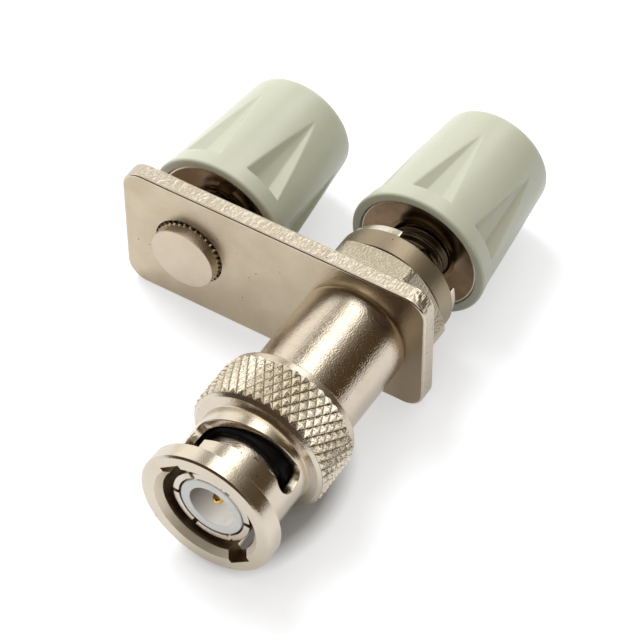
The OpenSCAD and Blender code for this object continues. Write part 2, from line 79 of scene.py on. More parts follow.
class Pad:  # a node tree, and the one way to put a node in it
    def __init__(self, tree):
        self.tree = tree

    def add(self, kind, sockets=None, out=0, **settings):  # out None gives all outputs
        node = self.tree.nodes.new(kind)
        for key, value in settings.items():
            if key == "stops":
                self.setStops(node.color_ramp, value)
            else:
                setattr(node, key, value)
        for key, value in (sockets or {}).items():
            socket = node.inputs[key]
            if isinstance(value, Wire):
                self.tree.links.new(value.socket, socket)
            else:
                socket.default_value = (*value, 1.0) if socket.type == "RGBA" else value
        if out is None:
            return [Wire(self, socket) for socket in node.outputs]
        return Wire(self, node.outputs[out]) if len(node.outputs) else None

    def setStops(self, ramp, stops):
        while len(ramp.elements) > 1:
            ramp.elements.remove(ramp.elements[-1])
        ramp.elements[0].position = stops[0][0]
        ramp.elements[0].color = (*stops[0][1], 1.0)
        for at, shade in stops[1:]:
            ramp.elements.new(at).color = (*shade, 1.0)

    def math(self, kind, first, second=0.0):
        return self.add("ShaderNodeMath", {0: first, 1: second}, operation=kind)

    def vector(self, kind, first, second=(0.0, 0.0, 0.0), out="Vector"):
        return self.add("ShaderNodeVectorMath", {0: first, 1: second}, out, operation=kind)

    def noise(self, place, size, detail, rough):
        sockets = {"Vector": place, "Scale": 1 / size, "Detail": detail, "Roughness": rough}
        return self.add("ShaderNodeTexNoise", sockets)

    def level(self, value, low, high, toLow=0.0, toHigh=1.0):
        return self.add("ShaderNodeMapRange", {0: value, 1: low, 2: high, 3: toLow, 4: toHigh})

    def blend(self, share, first, second):
        return self.add("ShaderNodeMix", {0: share, 6: first, 7: second}, 2, data_type="RGBA")

    def sideOf(self, place, way):  # distance to one side of the plug's axis
        return self.vector("DOT_PRODUCT", self.vector("SUBTRACT", place, signalAt), way, "Value")

    def rayIs(self, kind):
        return self.add("ShaderNodeLightPath", out=f"Is {kind} Ray")


def grey(value):
    return (value, value, value)


def newMaterial(name):
    material = bpy.data.materials.new(name)
    material.use_nodes = True
    material.node_tree.nodes.clear()
    return material, Pad(material.node_tree)


def closeMaterial(pad, sockets):
    shader = pad.add("ShaderNodeBsdfPrincipled", sockets)
    pad.add("ShaderNodeOutputMaterial", {"Surface": shader})


# sizes in metres, noise as (detail, roughness), reach as the two ends of a fade
nickelLook = dict(
    colour=(0.66, 0.585, 0.475),
    patchColour=(0.62, 0.53, 0.42),
    patchSize=0.004,
    patchNoise=(3.0, 0.55),
    patchReach=(0.36, 0.64),
    patchRough=0.05,
    darkColour=(0.40, 0.33, 0.25),
    grainSize=0.00014,
    grainNoise=(1.0, 0.6),
    grainReach=(0.3, 0.7),
    grainRough=0.06,
    grainShade=0.12,
    grainDepth=1.0,
    pitColour=(0.10, 0.075, 0.05),
    pitSize=0.0018,
    pitReach=(0.03, 0.06),
    lineScale=(300.0, 9000.0, 300.0),
    lineNoise=(2.0, 0.6),
    lineDepth=0.1,
    rough=0.09,
    bump=0.000022,
)


def nickelFinish(name, **changes):
    look = Values(**{**nickelLook, **changes})
    material, pad = newMaterial(name)
    place = pad.add("ShaderNodeTexCoord", out="Object")
    grain = pad.noise(place, look.grainSize, *look.grainNoise)
    patch = pad.noise(place, look.patchSize, *look.patchNoise)
    pit = pad.add("ShaderNodeTexVoronoi", {"Vector": place, "Scale": 1 / look.pitSize}, "Distance")
    stretched = pad.add("ShaderNodeMapping", {"Vector": place, "Scale": look.lineScale})
    lines = pad.noise(stretched, 1.0, *look.lineNoise)
    shade = pad.blend(pad.level(patch, *look.patchReach), look.colour, look.patchColour)
    shade = pad.blend(pad.level(grain, *look.grainReach) * look.grainShade, shade, look.darkColour)
    shade = pad.blend(pad.level(pit, *look.pitReach), look.pitColour, shade)  # a few dark specks
    if "valleyReach" in changes:  # painted shade between the knurl's points: darker towards the root, by the distance from the plug's axis
        away = pad.vector("MULTIPLY", pad.vector("SUBTRACT", place, signalAt), (1.0, 0.0, 1.0))
        radius = pad.vector("LENGTH", away, out="Value")
        shade = pad.blend(pad.level(radius, *look.valleyReach), look.valleyColour, shade)
    if "shadeFrom" in changes:  # painted shade and dark reflection towards one side of the plug's axis
        side = pad.level(pad.sideOf(place, look.shadeFrom), *look.shadeReach)
        shade = pad.blend(side, shade, look.shadeColour)
    rough = look.rough + (grain - 0.5) * look.grainRough + (patch - 0.5) * look.patchRough
    height = grain * look.grainDepth + lines * look.lineDepth
    bump = pad.add("ShaderNodeBump", {"Strength": 1.0, "Distance": look.bump, "Height": height})
    closeMaterial(pad, {"Metallic": 1.0, "Base Color": shade, "Roughness": rough, "Normal": bump})
    return material


barrelNickel = nickelFinish("barrelNickel", grainShade=0.15, bump=0.000027)
nutNickel = nickelFinish(
    "nutNickel", rough=0.19, colour=(0.685, 0.615, 0.505), patchColour=(0.655, 0.575, 0.46), grainDepth=0.6)
rimNickel = nickelFinish("rimNickel", rough=0.27, colour=(0.58, 0.51, 0.41), grainDepth=0.5)
# painted shade: a dark brown copy of the nickel for the inside of the nut's bore and its notches
boreNickel = nickelFinish(
    "boreNickel", rough=0.3, colour=(0.36, 0.26, 0.165), patchColour=(0.30, 0.21, 0.13),
    grainDepth=0.2, lineDepth=0.8)
# painted light: a lighter copy of the nickel for the chamfer round the nut's mouth
mouthNickel = nickelFinish(
    "mouthNickel", rough=0.55, colour=(0.80, 0.715, 0.575), patchColour=(0.74, 0.655, 0.52), lineDepth=0.8)
# painted shade in the knurl's valleys, darker towards the root
knurlNickel = nickelFinish(
    "knurlNickel", rough=0.27, colour=(0.76, 0.69, 0.56), patchColour=(0.72, 0.64, 0.51),
    grainSize=0.0002, lineDepth=0.0, bump=0.00006,
    valleyReach=(6.98 * mm, 7.05 * mm), valleyColour=(0.22, 0.18, 0.11))
# painted shade and dark reflection: the plate darkens to the right of the barrel's axis
plateNickel = nickelFinish(
    "plateNickel", rough=0.3, colour=(0.585, 0.495, 0.36), patchColour=(0.52, 0.43, 0.305),
    patchSize=0.0035, lineScale=(900.0, 900.0, 900.0),
    shadeFrom=(1.0, 0.0, 0.0), shadeReach=(0.0005, 0.005), shadeColour=(0.325, 0.255, 0.172))
plateEdgeNickel = nickelFinish(
    "plateEdgeNickel", rough=0.3, colour=(0.60, 0.54, 0.43), patchColour=(0.56, 0.49, 0.38),
    grainSize=0.0005, grainDepth=1.2, lineScale=(4200.0, 500.0, 2600.0), lineDepth=0.7, bump=0.00011)
burnishedNickel = nickelFinish("burnishedNickel", rough=0.16, grainDepth=0.2, lineDepth=0.0)
buttonNickel = nickelFinish(
    "buttonNickel", rough=0.3, colour=(0.645, 0.56, 0.43), patchColour=(0.605, 0.51, 0.385))
hexNickel = nickelFinish(
    "hexNickel", rough=0.32, colour=(0.49, 0.43, 0.325), patchColour=(0.44, 0.385, 0.285),
    grainSize=0.00022, grainDepth=1.2, lineDepth=0.0, bump=0.00006)
collarNickel = nickelFinish(
    "collarNickel", rough=0.4, colour=(0.33, 0.27, 0.185), patchColour=(0.29, 0.235, 0.155))
contactNickel = nickelFinish("contactNickel", rough=0.22, colour=(0.70, 0.645, 0.57))
# painted shade: the studs' threads, deep in shade behind the crowns, are a near black copy of the nickel
shadedThreadNickel = nickelFinish(
    "shadedThreadNickel", rough=0.26, colour=(0.075, 0.052, 0.03), patchColour=(0.055, 0.038, 0.02), lineDepth=0.0)
# painted shade: the dish inside each knob is a dark brown copy of the insert's nickel, whose lip stays
# bright
cupNickel = nickelFinish(
    "cupNickel", rough=0.17, colour=(0.28, 0.185, 0.105), patchColour=(0.18, 0.115, 0.055),
    patchSize=0.003, grainDepth=0.3)
pinGold = nickelFinish(
    "pinGold", rough=0.2, colour=(0.83, 0.53, 0.17), patchColour=(0.78, 0.48, 0.14),
    darkColour=(0.5, 0.26, 0.06))

plasticLook = dict(
    cloudNoise=(2.0, 0.5),
    cloudReach=(0.35, 0.65),
    grainNoise=(3.0, 0.6),
    fixed={"IOR": 1.5},
)


def plasticFinish(name, **changes):
    look = Values(**{**plasticLook, **changes})
    material, pad = newMaterial(name)
    place = pad.add("ShaderNodeTexCoord", out="Object")
    cloud = pad.noise(place, look.cloudSize, *look.cloudNoise)
    grain = pad.noise(place, look.grainSize, *look.grainNoise)
    shade = pad.blend(pad.level(cloud, *look.cloudReach), look.colour, look.cloudColour)
    sockets = dict(look.fixed)
    if "shadeFrom" in changes:  # a deep bore: painted shade on one wall, and a painted glow from emission on the other
        side = pad.level(pad.sideOf(place, look.shadeFrom), *look.shadeReach)
        shade = pad.blend(side, shade, look.shadeColour)
        sockets["Emission Color"] = pad.blend(side, look.glow, grey(0.0))
        sockets["Emission Strength"] = 1.0
    sockets["Base Color"] = shade
    sockets["Roughness"] = look.rough + (grain - 0.5) * look.grainRough
    sockets["Normal"] = pad.add("ShaderNodeBump", {"Strength": 1.0, "Distance": look.bump, "Height": grain})
    closeMaterial(pad, sockets)
    return material


knobPlastic = plasticFinish(
    "knobPlastic", colour=(0.535, 0.55, 0.445), cloudColour=(0.515, 0.53, 0.425), cloudSize=0.006,
    grainSize=0.0002, rough=0.29, grainRough=0.1, bump=0.000006)
whiteLook = dict(
    colour=(0.90, 0.91, 0.895),
    cloudColour=(0.87, 0.88, 0.865),
    cloudSize=0.002,
    grainSize=0.0003,
    rough=0.42,
    grainRough=0.08,
    bump=0.000004,
    fixed={"IOR": 1.38},
)
whitePlastic = plasticFinish("whitePlastic", **whiteLook)
# painted shade on the bore's upper left wall, painted glow on its lower right wall
boreWhite = plasticFinish(
    "boreWhite", **whiteLook, shadeFrom=(-0.94, 0.0, 0.34), shadeReach=(-0.001, 0.0022),
    shadeColour=(0.24, 0.20, 0.165), glow=(0.23, 0.23, 0.225))
blackRubber = plasticFinish(
    "blackRubber", colour=(0.004, 0.004, 0.004), cloudColour=(0.007, 0.006, 0.006), cloudSize=0.001,
    grainSize=0.0004, rough=0.3, grainRough=0.2, bump=0.00002,
    fixed={"IOR": 1.45, "Specular IOR Level": 0.08})
darkMoulding = plasticFinish(
    "darkMoulding", colour=(0.035, 0.026, 0.02), cloudColour=(0.05, 0.036, 0.026), cloudSize=0.002,
    grainSize=0.0003, rough=0.5, grainRough=0.1, bump=0.000006)
print("materials made")


def turned(radius, y, angle):  # a point round an axis along Y
    return (radius * math.cos(angle), y, radius * math.sin(angle))


def crossed(x, z, angle):  # a point of a section turned by an angle
    return x * math.cos(angle) - z * math.sin(angle), x * math.sin(angle) + z * math.cos(angle)


def bands(rows, count, closed=False, start=0):  # faces between rows of points, where each row is a ring
    faces = []
    for i in range(rows if closed else rows - 1):
        a = start + i * count
        b = start + (i + 1) % rows * count
        faces += [(a + k, a + (k + 1) % count, b + (k + 1) % count, b + k) for k in range(count)]
    return faces


def rounded(corners, steps=4):  # corners are (radius, y) or (radius, y, fillet), all in mm
    loop = []
    for i, corner in enumerate(corners):
        here = Vector(corner[:2])
        if len(corner) == 2:
            loop.append(here)
            continue
        fillet = corner[2]
        toBefore = (Vector(corners[i - 1][:2]) - here).normalized()
        toAfter = (Vector(corners[(i + 1) % len(corners)][:2]) - here).normalized()
        half = toBefore.angle(toAfter) / 2
        middle = here + (toBefore + toAfter).normalized() * (fillet / math.sin(half))
        first = here + toBefore * (fillet / math.tan(half)) - middle
        last = here + toAfter * (fillet / math.tan(half)) - middle
        sweep = first.angle(last)
        for k in range(steps + 1):
            t = k / steps
            swept = first * math.sin((1 - t) * sweep) + last * math.sin(t * sweep)
            loop.append(middle + swept / math.sin(sweep))
    return [(p[0], p[1]) for p in loop]


def spun(loop, steps=192, first=0.0, sweep=fullTurn):
    whole = sweep == fullTurn
    columns = steps if whole else steps + 1
    count = len(loop)
    points = [turned(r, y, first + sweep * i / steps) for i in range(columns) for r, y in loop]
    faces = bands(columns, count, closed=whole)
    if not whole:
        faces += [tuple(range(count)), tuple(range(steps * count, columns * count))]
    return points, faces


def tidyMesh(mesh, sharp):
    mergeWithin = 2e-8
    work = bmesh.new()
    work.from_mesh(mesh)
    bmesh.ops.remove_doubles(work, verts=work.verts, dist=mergeWithin)
    bmesh.ops.recalc_face_normals(work, faces=work.faces)
    work.to_mesh(mesh)
    work.free()
    mesh.shade_smooth()
    mesh.set_sharp_from_angle(angle=math.radians(sharp))


def meshFrom(name, points, faces, at, sharp=30, faceMaterials=None):
    mesh = bpy.data.meshes.new(name)
    mesh.from_pydata([[at[k] + p[k] * mm for k in range(3)] for p in points], [], faces)
    if faceMaterials:
        mesh.polygons.foreach_set("material_index", faceMaterials)
    tidyMesh(mesh, sharp)
    return mesh


def joined(*parts):
    points = []
    faces = []
    for partPoints, partFaces in parts:
        start = len(points)
        points += partPoints
        faces += [tuple(start + k for k in face) for face in partFaces]
    return points, faces


def plainMesh(obj):  # what the modifiers make of the object, as a mesh of its own
    seen = obj.evaluated_get(bpy.context.evaluated_depsgraph_get())
    mesh = bpy.data.meshes.new_from_object(seen)
    obj.modifiers.clear()
    obj.data = mesh
    return mesh


def newObject(name, mesh, materials=()):
    obj = bpy.data.objects.new(name, mesh)
    bpy.context.scene.collection.objects.link(obj)
    for material in materials:
        mesh.materials.append(material)
    return obj


def bevelEdges(obj, width):
    cut = obj.modifiers.new("edge", "BEVEL")
    cut.width = width * mm
    cut.segments = 3
    cut.limit_method = "ANGLE"
    cut.angle_limit = math.radians(38)
    plainMesh(obj)
    tidyMesh(obj.data, sharp=32)


def addPiece(name, mesh, materials, body, nodes=(), bevel=None):
    obj = newObject(name, mesh, materials)
    if bevel:
        bevelEdges(obj, bevel)
    weigh = obj.modifiers.new("flats", "WEIGHTED_NORMAL")
    weigh.keep_sharp = True
    weigh.weight = 100
    plainMesh(obj).name = name
    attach(obj, body)
    if nodes:
        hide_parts(*nodes)
    return obj


def carved(mesh, cutters, sharp):  # the mesh without what the cutters take away
    obj = newObject("carved", mesh)
    for cutter in cutters:
        tool = newObject("cutter", cutter)
        bite = obj.modifiers.new("cut", "BOOLEAN")
        bite.operation = "DIFFERENCE"
        bite.solver = "MANIFOLD"
        bite.object = tool
        mesh = plainMesh(obj)
        mesh.materials.clear()
        bpy.data.objects.remove(tool)
    bpy.data.objects.remove(obj)
    tidyMesh(mesh, sharp)
    return mesh


def sortFaces(mesh, axis, pick):  # a material for each face by its radius, its y and its tilt
    for face in mesh.polygons:
        away = (face.center - axis) / mm
        face.material_index = pick(math.hypot(away.x, away.z), away.y, face.normal.y)


def roundNormals(mesh, axis):  # cut cylinders shade as true ones
    mostTilt = 0.03
    leastMatch = 0.998
    normals = [corner.vector.copy() for corner in mesh.corner_normals]
    for face in mesh.polygons:
        if abs(face.normal.y) > mostTilt:
            continue
        for k in face.loop_indices:
            out = mesh.vertices[mesh.loops[k].vertex_index].co - axis
            out.y = 0.0
            out.normalize()
            match = out.dot(face.normal)
            if abs(match) > leastMatch:
                normals[k] = out if match > 0 else -out
    mesh.normals_split_custom_set(normals)


def newGroup(name, sockets):
    tree = bpy.data.node_groups.new(name, "GeometryNodeTree")
    for label, kind in sockets.items():
        tree.interface.new_socket(name=label, in_out="INPUT", socket_type="NodeSocket" + kind)
    tree.interface.new_socket(name="Geometry", in_out="OUTPUT", socket_type="NodeSocketGeometry")
    pad = Pad(tree)
    given = {wire.socket.name: wire for wire in pad.add("NodeGroupInput", out=None) if wire.socket.name}
    return tree, pad, given


def closeGroup(pad, made, material):
    made = pad.add("GeometryNodeRealizeInstances", {0: made})
    made = pad.add("GeometryNodeSetMaterial", {"Geometry": made, "Material": material})
    pad.add("NodeGroupOutput", {0: made})


def grown(name, tree, values):  # runs a node group once and keeps its mesh
    obj = newObject(name, bpy.data.meshes.new(name))
    grow = obj.modifiers.new("grow", "NODES")
    grow.node_group = tree
    for item in tree.interface.items_tree:
        if item.in_out == "INPUT":
            grow[item.identifier] = values[item.name]
    mesh = plainMesh(obj)
    bpy.data.objects.remove(obj)
    return mesh


def placeParts(pad):  # x, y and z of each point of a mesh
    return pad.add("ShaderNodeSeparateXYZ", {0: pad.add("GeometryNodeInputPosition")}, None)


def wrapRound(pad, axis, angle, along, radius):  # a flat place turned into one round an axis along Y
    across = radius * pad.math("COSINE", angle)
    up = radius * pad.math("SINE", angle)
    return pad.vector("ADD", axis, pad.add("ShaderNodeCombineXYZ", {0: across, 1: along, 2: up}))


# the pieces' sizes are in mm and degrees, with y from the plate's front face along the axes
plateSize = Values(left=-26.55, right=7.5, half=7.5, thick=1.9, corner=2.2, cornerSteps=14, edge=0.22,
                   edgeSteps=5, barrelHole=4.75, postHole=3.85, holeSteps=64, pitch=19.05)


def makePlate(s):
    def outline(inset, y):
        corners = ((s.right, s.half), (s.left, s.half), (s.left, -s.half), (s.right, -s.half))
        loop = []
        for i, (x, z) in enumerate(corners):
            x -= math.copysign(s.corner, x)
            z -= math.copysign(s.corner, z)
            for k in range(s.cornerSteps + 1):
                across, _, up = turned(s.corner - inset, y, math.pi / 2 * (i + k / s.cornerSteps))
                loop.append((x + across, y, z + up))
        return loop

    def circle(x, radius, y):
        ring = [turned(radius, y, fullTurn * k / s.holeSteps) for k in range(s.holeSteps)]
        return [(x + p[0], y, p[2]) for p in ring]

    def ringEdges(start, count):
        return [(start + k, start + (k + 1) % count) for k in range(count)]

    e = s.edge
    quarter = [math.pi / 2 * k / s.edgeSteps for k in range(s.edgeSteps + 1)]
    rows = [outline(e * (1 - math.sin(a)), e * (1 - math.cos(a))) for a in quarter]
    rows += [outline(e * (1 - math.cos(a)), s.thick - e * (1 - math.sin(a))) for a in quarter]
    count = len(rows[0])
    points = [p for row in rows for p in row]
    faces = bands(len(rows), count)
    # materials by number: 0 for the flat faces, 1 for the edge, 2 for its rounded sides
    kinds = [1 if i == s.edgeSteps else 2 for i in range(len(rows) - 1) for _ in range(count)]
    holes = ((0.0, s.barrelHole), (-s.pitch, s.postHole))
    for rim, y in ((rows[0], 0.0), (rows[-1], s.thick)):  # the two faces, with their holes
        flat = [Vector((p[0], p[2])) for p in rim]
        edges = ringEdges(0, count)
        for x, radius in holes:
            edges += ringEdges(len(flat), s.holeSteps)
            flat += [Vector((p[0], p[2])) for p in circle(x, radius, y)]
        placed, _, triangles, _, _, _ = delaunay_2d_cdt(flat, edges, [], 1, 1e-5)
        start = len(points)
        points += [(p[0], y, p[1]) for p in placed]
        for triangle in triangles:
            middle = sum((placed[k] for k in triangle), Vector((0, 0))) / 3
            # a triangle that fills a hole is left out
            if all((middle - Vector((x, 0))).length > radius * 0.998 for x, radius in holes):
                faces.append(tuple(start + k for k in triangle))
                kinds.append(0)
    for x, radius in holes:
        faces += bands(2, s.holeSteps, start=len(points))
        points += circle(x, radius, 0.0) + circle(x, radius, s.thick)
        kinds += [0] * s.holeSteps
    mesh = meshFrom("plateBlank", points, faces, signalAt, sharp=35, faceMaterials=kinds)
    addPiece("plateBlank", mesh, (plateNickel, plateEdgeNickel, burnishedNickel), "adapter", ("plate",))


makePlate(plateSize)
print("plate made")

barrelSize = Values(radius=5.62, middle=-6.0, lip=-12.45, round=1.2, share=0.62, roundSteps=8, spigot=4.75,
                    hexRear=5.0, bore=3.31, neck=5.0, neckFront=-16.3, groove=4.55, grooveRear=-14.7,
                    grooveFront=-15.4, nose=4.7, noseFront=-17.45, seat=4.05, seatRear=-13.85)


def makeBarrel(s):
    edge = []
    for k in range(s.roundSteps + 1):  # the rounded end next to the plate
        across, _, along = turned(s.round, 0.0, math.asin(s.share) * k / s.roundSteps)
        edge.append((s.radius - s.round + across, along - s.round * s.share))
    loop = [(s.bore, s.hexRear), (s.spigot, s.hexRear), (s.spigot, 0.0)] + edge[::-1]
    loop += rounded([
        (s.radius, s.middle), (s.radius, s.lip, 0.1), (s.neck, s.lip), (s.neck, s.grooveRear),
        (s.groove, s.grooveRear), (s.groove, s.grooveFront), (s.neck, s.grooveFront), (s.neck, s.neckFront),
        (s.nose, s.neckFront), (s.nose, s.noseFront), (s.seat, s.noseFront), (s.seat, s.seatRear),
        (s.bore, s.seatRear)])
    mesh = meshFrom("barrel", *spun(loop), signalAt)
    addPiece("barrel", mesh, (barrelNickel,), "adapter", ("plug_barrel",))


makeBarrel(barrelSize)

nutSize = Values(front=-26.1, rear=-11.5, flangeRear=-24.28, flange=7.06, sleeve=5.75, sleeveRear=-17.75,
                 bevel=0.3, rim=6.99, knurlFront=-17.25, knurlRear=-12.4, root=6.86, bore=4.95, mouth=0.6,
                 edge=0.2, cavity=6.25, cavityFront=-16.7, cavityRear=-12.6, lip=5.70, steps=256)
slotSize = Values(entryAngle=129.0, lockAngle=25.0, half=1.325, y=-21.05, rise=1.2, pocket=1.4, dip=0.3,
                  front=nutSize.flangeRear + 0.012, inside=nutSize.bore - 0.9, chamfer=0.09, over=0.25,
                  straightSteps=6, cornerSteps=10, rampSteps=26, endSteps=29, endAngle=300.0,
                  meetAngle=225.0)
# the way in through the flange, a hair narrower than the slot it runs into
entrySize = Values(half=slotSize.half - 0.03, inside=nutSize.bore - 1.2, outside=5.85,
                   front=nutSize.front - 0.5, rear=slotSize.y - 0.7)
slotMiddle = (nutSize.bore + nutSize.sleeve) / 2


def slotOutline(s):  # one slot laid flat, as (arc length at the middle of the wall, y)
    def way(angle):
        return Vector((math.cos(angle), math.sin(angle)))

    half = s.half
    entry = Vector((math.radians(s.entryAngle) * slotMiddle, s.y))
    lock = Vector((math.radians(s.lockAngle) * slotMiddle, s.y + s.rise))
    pocket = lock - Vector((0, s.dip))
    hub = (lock + pocket) / 2
    ramp = lock - entry
    along = ramp.normalized()
    up = Vector((-along.y, along.x)) * (1 if along.x > 0 else -1)
    topAngle = math.atan2(up.y, up.x)
    straight = range(1, s.straightSteps + 1)
    front = s.front
    loop = [Vector((entry.x + half, front))]
    loop += [Vector((entry.x + half, front + (entry.y - front) * k / len(straight))) for k in straight]
    loop += [entry + half * way(topAngle * k / s.cornerSteps) for k in range(1, s.cornerSteps + 1)]
    loop += [entry + up * half + ramp * (k / s.rampSteps) for k in range(1, s.rampSteps + 1)]
    for k in range(1, s.endSteps + 1):  # round the locked end, over both circles
        angle = topAngle + (math.radians(s.endAngle) - topAngle) * k / s.endSteps
        far = 0.0
        for centre, radius in ((lock, half), (pocket, s.pocket)):
            gap = centre - hub
            near = gap.dot(way(angle))
            far = max(far, near + math.sqrt(max(radius ** 2 - gap.length_squared + near ** 2, 0.0)))
        tip = hub + way(angle) * far
        if angle > math.radians(s.meetAngle) and (tip - lock).dot(up) > -half:
            break
        loop.append(tip)
    lower = entry - up * half
    share = (loop[-1] - lower).dot(ramp) / ramp.length_squared
    corner = entry.x - half
    stop = (corner - lower.x) / ramp.x
    for k in range(1, s.rampSteps + 1):
        loop.append(lower + ramp * (share + (stop - share) * k / s.rampSteps))
    last = loop[-1]
    loop += [Vector((corner, last.y + (front - last.y) * k / len(straight))) for k in straight]
    return loop


def slotCutter(s, sleeve, turnBy):
    loop = slotOutline(s)
    count = len(loop)
    area = sum(loop[i - 1].x * loop[i].y - loop[i].x * loop[i - 1].y for i in range(count))
    outward = []
    for i in range(count):
        edge = loop[(i + 1) % count] - loop[i - 1]
        outward.append(Vector((edge.y, -edge.x)).normalized() * math.copysign(1.0, area))
    knee = 0.3 * s.chamfer  # the slot's edge is slightly round
    rings = ((s.inside, 0.0), (sleeve - s.chamfer, 0.0), (sleeve - knee, knee),
             (sleeve + s.over, s.chamfer + s.over))
    points = []
    for radius, grow in rings:
        for p, way in zip(loop, outward):
            q = p + way * grow
            points.append(turned(radius, max(q.y, s.front), q.x / slotMiddle + turnBy))
    edges = [(k, (k + 1) % count) for k in range(count)]
    _, _, triangles, given, _, _ = delaunay_2d_cdt(loop, edges, [], 1, 1e-6)
    faces = []
    for start in (0, (len(rings) - 1) * count):  # caps that follow the curve
        faces += [tuple(start + given[k][0] for k in triangle) for triangle in triangles]
    return points, faces + bands(len(rings), count)


def entryCutter(s, turnBy):
    angle = math.radians(slotSize.entryAngle) + turnBy
    corners = ((s.inside, -s.half), (s.outside, -s.half), (s.outside, s.half), (s.inside, s.half))
    points = []
    for y in (s.front, s.rear):
        for x, z in corners:
            across, up = crossed(x, z, angle)
            points.append((across, y, up))
    return points, [(0, 1, 2, 3), (4, 5, 6, 7)] + bands(2, 4)


def makeNut(s):
    loop = rounded([
        (s.lip, s.rear, 0.08), (s.rim, s.rear, 0.22), (s.rim, s.knurlRear, 0.04),
        (s.root, s.knurlRear - 0.06), (s.root, s.knurlFront + 0.1), (s.rim, s.knurlFront),
        (s.rim - s.bevel, s.knurlFront - s.bevel, 0.06), (s.sleeve + 0.1, s.sleeveRear, 0.03),
        (s.sleeve, s.sleeveRear - 0.05), (s.sleeve, s.flangeRear, 0.12), (s.flange, s.flangeRear, 0.06),
        (s.flange, s.front + s.edge, 0.03), (s.flange - s.edge, s.front, 0.03),
        (s.bore + s.mouth, s.front, 0.03), (s.bore, s.front + s.mouth, 0.03), (s.bore, s.cavityFront),
        (s.cavity, s.cavityFront), (s.cavity, s.cavityRear), (s.lip, s.cavityRear)])
    bothSides = (0.0, math.pi)
    slots = joined(*(slotCutter(slotSize, s.sleeve, turn) for turn in bothSides))
    entries = joined(*(entryCutter(entrySize, turn) for turn in bothSides))
    cutters = [meshFrom("nutCutter", *cutter, signalAt) for cutter in (slots, entries)]
    mesh = carved(meshFrom("nutBlank", *spun(loop, steps=s.steps), signalAt), cutters, sharp=28)

    outside, inside, rearRim, mouth = range(4)  # the places of the finishes below

    def finishOf(radius, y, tilt):
        facesFront = tilt < -0.9
        inNotch = y < s.flangeRear and tilt > -0.3 and radius < s.flange - 0.3
        if radius < s.bore + 0.02 or inNotch:
            return inside
        if radius < s.bore + s.mouth and y < s.front + s.mouth and not facesFront:
            return mouth
        return rearRim if y > s.knurlRear - 0.1 else outside

    sortFaces(mesh, signalAt, finishOf)
    finishes = (nutNickel, boreNickel, rimNickel, mouthNickel)
    piece = addPiece("couplingNut", mesh, finishes, "coupling", ("coupling_nut",))
    roundNormals(piece.data, signalAt)


makeNut(nutSize)
print("coupling nut made")

knurlSize = {"Around": 45, "Rows": 3, "Length": 4.85 * mm, "Front": -17.25 * mm, "Root Radius": 6.98 * mm,
             "Depth": 0.31 * mm, "Flat": 0.08, "Axis": signalAt, "Material": knurlNickel}


def knurlTree():  # pyramids on a flat lattice, then wrapped round the nut
    tree, pad, given = newGroup("diamondKnurl", {
        "Around": "Int", "Rows": "Int", "Length": "Float", "Front": "Float", "Root Radius": "Float",
        "Depth": "Float", "Flat": "Float", "Axis": "Vector", "Material": "Material"})
    halfPitch = math.pi / given["Around"]
    rowsTwice = given["Rows"] * 2.0
    lattice = pad.add("GeometryNodeMeshGrid", {
        "Size X": (given["Around"] - 1.0) * halfPitch * 2.0, "Size Y": given["Length"],
        "Vertices X": given["Around"], "Vertices Y": rowsTwice + 1.0})
    _, y, _ = placeParts(pad)
    row = pad.math("ROUND", (y / given["Length"] + 0.5) * rowsTwice)
    shift = pad.add("ShaderNodeCombineXYZ", {0: (row % 2.0) * halfPitch})
    lattice = pad.add("GeometryNodeSetPosition", {"Geometry": lattice, "Offset": shift})
    point = pad.add("GeometryNodeMeshCone", {
        "Vertices": 4, "Radius Top": given["Flat"], "Radius Bottom": 1.0, "Depth": 1.0})
    halfRow = given["Length"] / rowsTwice
    size = pad.add("ShaderNodeCombineXYZ", {0: halfPitch, 1: halfRow, 2: given["Depth"]})
    made = pad.add("GeometryNodeInstanceOnPoints", {"Points": lattice, "Instance": point, "Scale": size})
    made = pad.add("GeometryNodeRealizeInstances", {0: made})
    angle, along, height = placeParts(pad)
    halfLength = given["Length"] * 0.5
    along = pad.math("MINIMUM", along, halfLength)
    along = pad.math("MAXIMUM", along, height - halfLength)  # the front row is bevelled off
    wrapped = wrapRound(
        pad, given["Axis"], angle, given["Front"] + halfLength + along, given["Root Radius"] + height)
    made = pad.add("GeometryNodeSetPosition", {"Geometry": made, "Position": wrapped})
    made = pad.add("GeometryNodeFlipFaces", {0: made})  # wrapping turned them inside out
    closeGroup(pad, made, given["Material"])
    return tree


knurl = grown("nutKnurl", knurlTree(), knurlSize)
addPiece("nutKnurl", knurl, (), "coupling")
print("knurl made")

contactSize = Values(front=-25.1, rear=-13.85, inner=3.5, outer=4.05, bead=4.2, beadAt=0.9, beadEnd=1.6,
                     fingers=6, fingerSteps=14, slit=0.25, slitLength=4.7, overlap=0.3)


def makeContact(s):
    slitRear = s.front + s.slitLength
    fingerRear = slitRear + s.overlap
    loop = rounded([
        (s.inner, s.front, 0.05), (s.bead - 0.05, s.front, 0.1), (s.bead, s.front + s.beadAt, 0.3),
        (s.outer, s.front + s.beadEnd), (s.outer, fingerRear), (s.inner, fingerRear)])
    gap = s.slit / s.outer
    pitch = fullTurn / s.fingers
    parts = [spun(loop, s.fingerSteps, pitch * i + gap, pitch - 2 * gap) for i in range(s.fingers)]
    hair = 0.01  # keeps the tube's walls apart from the fingers'
    inner, outer = s.inner + hair, s.outer + hair
    tube = [(inner, slitRear), (outer, slitRear), (outer, s.rear), (inner, s.rear)]
    parts.append(spun(tube, steps=96))
    mesh = meshFrom("fingerContact", *joined(*parts), signalAt)
    addPiece("fingerContact", mesh, (contactNickel,), "adapter", ("outer_contact",))


makeContact(contactSize)

insulatorSize = Values(front=-25.1, rear=-9.35, outer=3.31, bore=2.34, floor=-19.6, tail=1.1)


